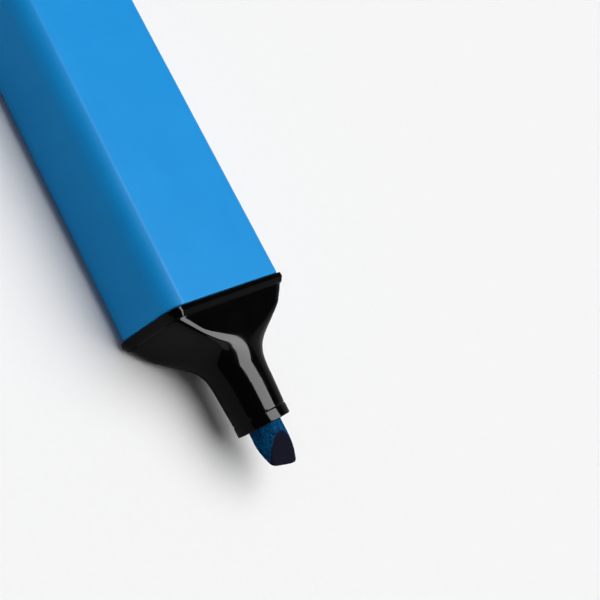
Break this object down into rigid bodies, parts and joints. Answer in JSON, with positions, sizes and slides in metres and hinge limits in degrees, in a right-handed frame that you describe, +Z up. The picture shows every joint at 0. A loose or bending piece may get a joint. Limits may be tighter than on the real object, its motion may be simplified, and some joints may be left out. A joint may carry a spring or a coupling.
{
  "type": "highlighter pen",
  "caption": "Flat-barrelled felt-tip highlighter with a black funnel front, a chisel felt nib and a black cap pushed on to the rear end.",
  "frame": {"origin": "middle of the wide face that the pen lies on, half-way along its length with the cap on the rear end", "axes": "+X along the pen towards the nib, +Y across the wide face towards the leading end of the slanted writing edge, +Z up out of the wide face"},
  "size_m": [0.1298, 0.0274, 0.015],
  "materials": {
    "barrel_plastic": "satin moulded plastic, bright blue",
    "front_plastic": "polished black plastic",
    "nib_felt": "pressed felt soaked in dark blue ink",
    "filler_fibre": "ink-soaked fibre",
    "sleeve_film": "thin clear film",
    "plug_plastic": "polished black plastic",
    "cap_plastic": "polished black plastic",
    "liner_plastic": "soft translucent plastic"
  },
  "bodies": {
    "pen": {"barrel": "barrel_plastic", "front_section": "front_plastic", "nib": "nib_felt", "ink_reservoir": "filler_fibre", "reservoir_sleeve": "sleeve_film", "rear_plug": "plug_plastic"},
    "cap": {"cap_shell": "cap_plastic", "cap_liner": "liner_plastic"}
  },
  "joints": [
    {"name": "cap_pull", "type": "slide", "parent": "pen", "child": "cap", "axis": [-1, 0, 0], "range_m": [0, 0.012]}
  ]
}
